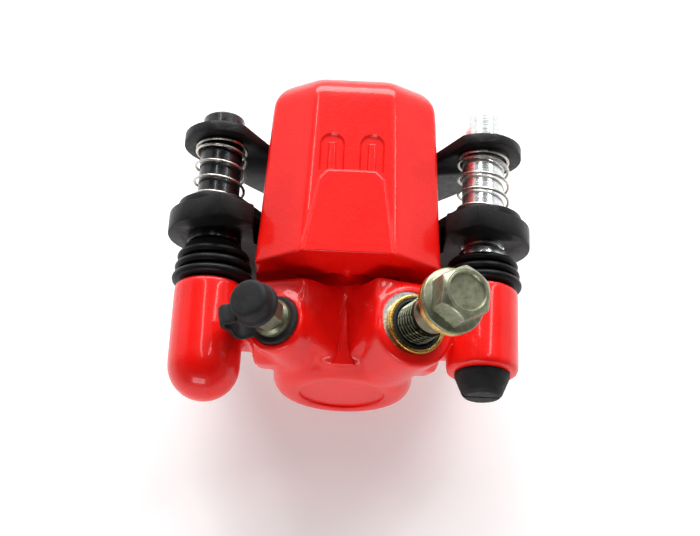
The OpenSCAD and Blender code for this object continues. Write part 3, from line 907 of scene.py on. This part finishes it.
def banjo_bolt():
    """Hollow hose bolt: a helical thread with painted shade in its groove, a neck, a flange and a hexagon
    head.
    """
    columns = 144
    angles = around(columns)
    tip, neck, lift = -4.8, 8.2, 18.2
    start, root, crest, pitch = tip + 0.6, 3.7, 4.75, 1.25
    rows = rounded([(2.0, tip), (3.6, tip, 0.2), (3.9, tip + 0.5)])
    for z in np.arange(start, neck, 0.09):
        rows.append((thread_radius(angles, z, root, crest, pitch, start, neck), z))
    rows += rounded([(3.9, neck + 0.05), (4.4, neck + 0.5, 0.3), (4.4, lift - 0.4, 0.4), (4.9, lift)])
    flange, across = lift + 1.25, 11
    rows += rounded([(5.0, lift), (7.3, lift, 0.3), (7.3, lift + 1.0, 0.25), (7.0, flange)])
    hexed = hexagon(angles, across)
    for z in np.linspace(lift + 1.3, lift + 2, 9):
        rows.append((np.maximum(hexed, 7.0 - (z - flange) * 2.4), z))
    rows += chamfered_head(
        angles, across, z0=lift + 2.05, height=5.55, slope=1.2, edge=1.45, dish=4.1, depth=0.5)
    piece = turned("banjo_bolt_finished", PORT, rows, columns, sharp=28)
    sideways = Matrix.Rotation(math.pi / 2, 4, "Y")
    hole = PORT @ Matrix.Translation(Vector((0, 0, lift - 7)) * MM) @ sideways
    cut(piece, disc("cross_hole", hole, 1.5, -6, 6, 48))
    cut(piece, disc("drilling", PORT, 1.8, tip - 1, lift - 5, 48))
    finish_shading(piece.data, 28)
    # The second material is painted shade: near-black zinc on the faces in the thread's groove.
    wear(piece, olive_zinc("olive_zinc", 0.95), olive_zinc("groove_painted_shade", 0.08))
    to_port, groove = PORT.inverted(), 4.56
    for face in piece.data.polygons:
        at = to_port @ face.center / MM
        face.material_index = int(math.hypot(at.x, at.y) < groove and at.z < neck)
    return placed(piece, "hose_bolt", None, "bolt_zinc", "banjo_bolt")


def bonded_washer(which, z, radius, body, gold, black):
    """Metal ring with a rubber lip moulded inside it."""
    rows = rounded([
        (5.9, z, 0.1), (radius, z, 0.22), (radius, z + 1.5, 0.22), (5.9, z + 1.5, 0.15)], closed=True)
    ring = turned(which + "_washer_ring_finished", PORT, rows, 128, ring=True)
    placed(ring, body, gold, "washer_brass", which + "_washer_ring")
    rows = rounded([
        (4.9, z + 0.2, 0.2), (5.4, z + 0.02, 0.3), (5.88, z + 0.2), (5.88, z + 1.3),
        (5.4, z + 1.48, 0.3), (4.9, z + 1.2, 0.2)], closed=True)
    lip = turned(which + "_washer_seal_finished", PORT, rows, 128, ring=True)
    placed(lip, body, black, "seal_rubber", which + "_washer_seal")


# ---- Bleeder -----------------------------------------------------------------------------------

def bleeder_screw():
    """Screw with a cone tip, a short helical thread, a flange, a hexagon and a barbed nipple."""
    columns = 96
    angles = around(columns)
    rows = [(1.6, -9.9), (3.4, -8.0)]
    start, root, crest, pitch = -7.8, 3.1, 3.5, 1.0
    for z in np.arange(start, 0, 0.1):
        rows.append((thread_radius(angles, z, root, crest, pitch, start, 0), z))
    waist, foot, head, corner = 3.7, 3.7, 9.0, 4.04
    rows += rounded([
        (crest, 0.1), (crest, 1.4), (4.4, 1.4, 0.2), (4.4, 2.9, 0.5), (3.75, 3.65), (waist, foot)])
    hexed = hexagon(angles, 7)
    rows += [(np.minimum(hexed, waist + (z - foot) * 1.5), z) for z in (3.72, 3.8, 3.9, 4.05, 4.2)]
    rows += [(np.minimum(hexed, corner - (z - head + 0.2) * 1.6), z) for z in (8.6, 8.8, 8.9, head)]
    rows += rounded([(3.4, head), (2.4, head, 0.2), (2.4, 10.2, 0.3), (3.0, 11.4, 0.3), (2.4, 13.2, 0.3),
                     (1.0, 13.2)])
    piece = turned("bleeder_screw_finished", BLEEDER, rows, columns, sharp=28)
    return placed(piece, "bleeder", olive_zinc("pale_olive_zinc", 0.65), "bolt_zinc", "bleeder_screw")


def bleeder_cap(look):
    """Rubber cap with a round lip at its mouth and a domed end."""
    rows = rounded([
        (3.1, 13.5), (3.1, 9.2), (4.8, 9.2, 0.3), (5.1, 9.6, 0.3), (5.1, 10.7, 0.3), (4.72, 11.1, 0.25),
        (4.55, 11.5, 0.4), (4.45, 14.7, 1.45), (2.4, 14.78, 2), (0.01, 14.8)])
    piece = turned("bleeder_cap_finished", BLEEDER, rows, 96, sharp=50)
    return placed(piece, "cap", look, "cap_rubber", "bleeder_cap")


def strap_path():
    """Middle line of the strap from the ring to the cap, as (distance from the screw's axis, z)."""
    return [(4.3, 0.68), (5.6, 0.68), (6.9, 0.72), (8.1, 1.15), (8.85, 2.3), (8.95, 4.0), (8.6, 5.6),
            (8.45, 6.9), (8.95, 8.3), (8.75, 9.7), (7.7, 10.45), (6.7, 10.0), (5.0, 9.95)]


def smooth_path(points, steps):
    """Catmull-Rom curve through the points."""
    points = [Vector(p) for p in points]
    ends = [points[0] * 2 - points[1], *points, points[-1] * 2 - points[-2]]
    path = []
    for i in range(1, len(ends) - 2):
        p0, p1, p2, p3 = ends[i - 1:i + 3]
        for k in range(steps):
            t = k / steps
            path.append(0.5 * (2 * p1 + (p2 - p0) * t + (2 * p0 - 5 * p1 + 4 * p2 - p3) * t * t
                               + (3 * p1 - p0 - 3 * p2 + p3) * t ** 3))
    path.append(ends[-2])
    return path


def squared(value, power):
    """A sine or cosine pushed outwards, so that an ellipse made from it gets square corners."""
    return math.copysign(abs(value) ** power, value)


def bleeder_tether(look):
    """Flat ring under the screw's flange and the strap that holds the cap."""
    rows = rounded([
        (3.65, 0.02, 0.2), (5.7, 0.02, 0.5), (5.7, 1.38, 0.55), (3.65, 1.38, 0.3)], closed=True)
    ring = turned("tether_ring", BLEEDER, rows, 96, ring=True, sharp=50)
    away = math.radians(191)
    path = smooth_path([(r * math.cos(away), r * math.sin(away), z) for r, z in strap_path()], 6)
    across = Vector((-math.sin(away), math.cos(away), 0))
    half_width, half_height, sides = 2.45, 0.6, 20
    points = []
    for here, heading in headings(path):
        wide = (across - heading * across.dot(heading)).normalized()
        thick = heading.cross(wide)
        for j in range(sides):
            a = 2 * math.pi * j / sides
            offset = (wide * half_width * squared(math.cos(a), 0.4)
                      + thick * half_height * squared(math.sin(a), 0.6))
            points.append(BLEEDER @ ((here + offset) * MM) / MM)
    strap = built("tether_strap", points, tube_faces(len(path), sides), 50)
    join(strap, ring)
    strap.name = "bleeder_tether_finished"
    remesh(strap, 0.16)
    even_out(strap, 8, lambda co: np.full(len(co), 0.5))
    finish_shading(strap.data, 60)
    wear(strap, look)
    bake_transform(strap)
    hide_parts("bleeder_tether")
    return strap


# ---- Plug --------------------------------------------------------------------------------------

def plug(look):
    """Tapered rubber plug with a slot across its end."""
    rows = rounded([
        (0.01, -36.4), (4.0, -36.4, 0.5), (4.65, -35.7, 0.4), (6.3, -31.7, 0.15), (6.3, -30.92, 0.1),
        (5.58, -30.9), (5.58, -27.1), (0.01, -27.1)])
    piece = turned("pin_access_plug_finished", RIGHT_PIN, rows, 96, sharp=40)
    x, _, z = middle("pin_access_plug") / MM
    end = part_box("pin_access_plug")[0].y / MM
    cut(piece, box("slot", (x - 7, end - 1, z - 0.35), (x + 7, end + 1.1, z + 0.35)))
    finish_shading(piece.data, 40)
    return placed(piece, "caliper", look, "cap_rubber", "pin_access_plug")


# ---- Stage -------------------------------------------------------------------------------------

def floor():
    """A wide floor that the part stands on."""
    level = cad_box[0].z
    size = 4
    mesh = bpy.data.meshes.new("floor")
    mesh.from_pydata(
        [(-size, -size, level), (size, -size, level), (size, size, level), (-size, size, level)],
        [], [(0, 1, 2, 3)])
    piece = shown("floor", mesh)
    mesh.materials.append(pale_floor())


def lamp(name, at, aim, size, watts):
    """A rectangular white softbox."""
    data = bpy.data.lights.new(name, "AREA")
    data.energy = watts
    data.shape = "RECTANGLE"
    data.size, data.size_y = size
    light = bpy.data.objects.new(name, data)
    bpy.context.scene.collection.objects.link(light)
    light.location = at
    light.rotation_euler = (Vector(aim) - Vector(at)).to_track_quat("-Z", "Y").to_euler()


def studio():
    """A light tent with lamps: bright walls behind, dim ones in front, and a dark top over the camera."""
    world = bpy.data.worlds.new("studio")
    bpy.context.scene.world = world
    world.use_nodes = True
    tree = world.node_tree
    direction = tree.nodes.new("ShaderNodeTexCoord").outputs["Generated"]
    parts = tree.nodes.new("ShaderNodeSeparateXYZ")
    tree.links.new(direction, parts.inputs[0])
    ramps = []
    for value, first, last in ((parts.outputs["Z"], (0.45, 1.0), (0.62, 0.07)),
                               (parts.outputs["Y"], (0.08, 0.32), (0.38, 1.15))):
        ramp = tree.nodes.new("ShaderNodeValToRGB")
        tree.links.new(value, ramp.inputs["Fac"])
        for element, (position, level) in zip(ramp.color_ramp.elements, (first, last)):
            element.position, element.color = position, (level, level, level, 1)
        ramps.append(ramp.outputs["Color"])
    both = tree.nodes.new("ShaderNodeVectorMath")
    both.operation = "MULTIPLY"
    tree.links.new(ramps[0], both.inputs[0])
    tree.links.new(ramps[1], both.inputs[1])
    tree.links.new(both.outputs[0], tree.nodes["Background"].inputs["Color"])
    aim = (0, 0, 0.03)
    lamp("key", (0.0, 0.75, 0.50), aim, (1.0, 0.36), 13)
    lamp("softbox_front", (-0.12, -0.62, 0.24), aim, (0.4, 0.2), 1.7)
    lamp("strip_left", (-0.16, 0.30, 0.74), aim, (0.04, 0.5), 0.9)
    lamp("strip_right", (0.34, 0.30, 0.68), aim, (0.04, 0.5), 1.0)
    bpy.context.scene.view_settings.view_transform = "Standard"


def camera():
    """The view from high on the inboard side, a little left of centre and slightly rolled."""
    azimuth, elevation, roll = (math.radians(a) for a in (-0.52, 66.61, 3.13))
    distance = 0.34102
    target = Vector((0.00056, -0.0058, 0.03507))
    back = Vector((math.sin(azimuth) * math.cos(elevation), -math.cos(azimuth) * math.cos(elevation),
                   math.sin(elevation)))
    level = Vector((math.cos(azimuth), math.sin(azimuth), 0))
    right = math.cos(roll) * level + math.sin(roll) * back.cross(level)
    up = back.cross(right)
    data = bpy.data.cameras.new("camera")
    data.lens = 75.02
    data.sensor_width = 36
    data.clip_start = 0.01
    eye = bpy.data.objects.new("camera", data)
    bpy.context.scene.collection.objects.link(eye)
    eye.matrix_world = Matrix.Translation(target + back * distance) @ Matrix(
        (right, up, back)).transposed().to_4x4()
    bpy.context.scene.camera = eye


# ---- Assembly ----------------------------------------------------------------------------------

def main():
    """Builds every piece, then the stage."""
    housing()
    fixed_pin()
    removable_pin()
    piston()
    boot_look = rubber("boot_rubber", 0.005, 0.03, 0.34)
    boot("left_boot", LEFT_PIN, -2.8, -12.6, 2.7, 0.7, boot_look)
    boot("right_boot", RIGHT_PIN, -3.3, -10.9, 2.35, 0.0, boot_look)
    steel = spring_steel()
    spring("left_return_spring", LEFT_PIN, steel)
    spring("right_return_spring", RIGHT_PIN, steel)
    banjo_bolt()
    gold, seal = gold_zinc(), rubber("seal_rubber", 0.02, 0.0, 0.4)
    bonded_washer("head", 16.7, 7.25, "bolt_washer", gold, seal)
    bonded_washer("port", 0.0, 6.8, "caliper", gold, seal)
    bleeder_screw()
    cap_look = rubber("cap_rubber", 0.016, 0.01, 0.55)
    bleeder_cap(cap_look)
    bleeder_tether(cap_look)
    plug(rubber("plug_rubber", 0.016, 0.02, 0.55))
    bracket_look = black_steel("bracket_black", 0.006, 0.30)
    bracket = refined("mounting_bracket", 0.22)
    placed(bracket, "bracket", bracket_look, "bracket_black", "mounting_bracket")
    pad_look = black_steel("pad_black", 0.007, 0.34)
    lining = friction_lining()
    for side in ("inner", "outer"):
        plate, pad = side + "_pad_plate", side + "_pad_lining"
        placed(refined(plate, 0.25), side + "_pad", pad_look, "pad_black", plate)
        placed(refined(pad, 0.3), side + "_pad", lining, "lining", pad)
    for node in ("piston_seal", "dust_seal"):
        placed(refined(node, 0.15), "caliper", seal, "seal_rubber", node)
    floor()
    studio()
    camera()


main()
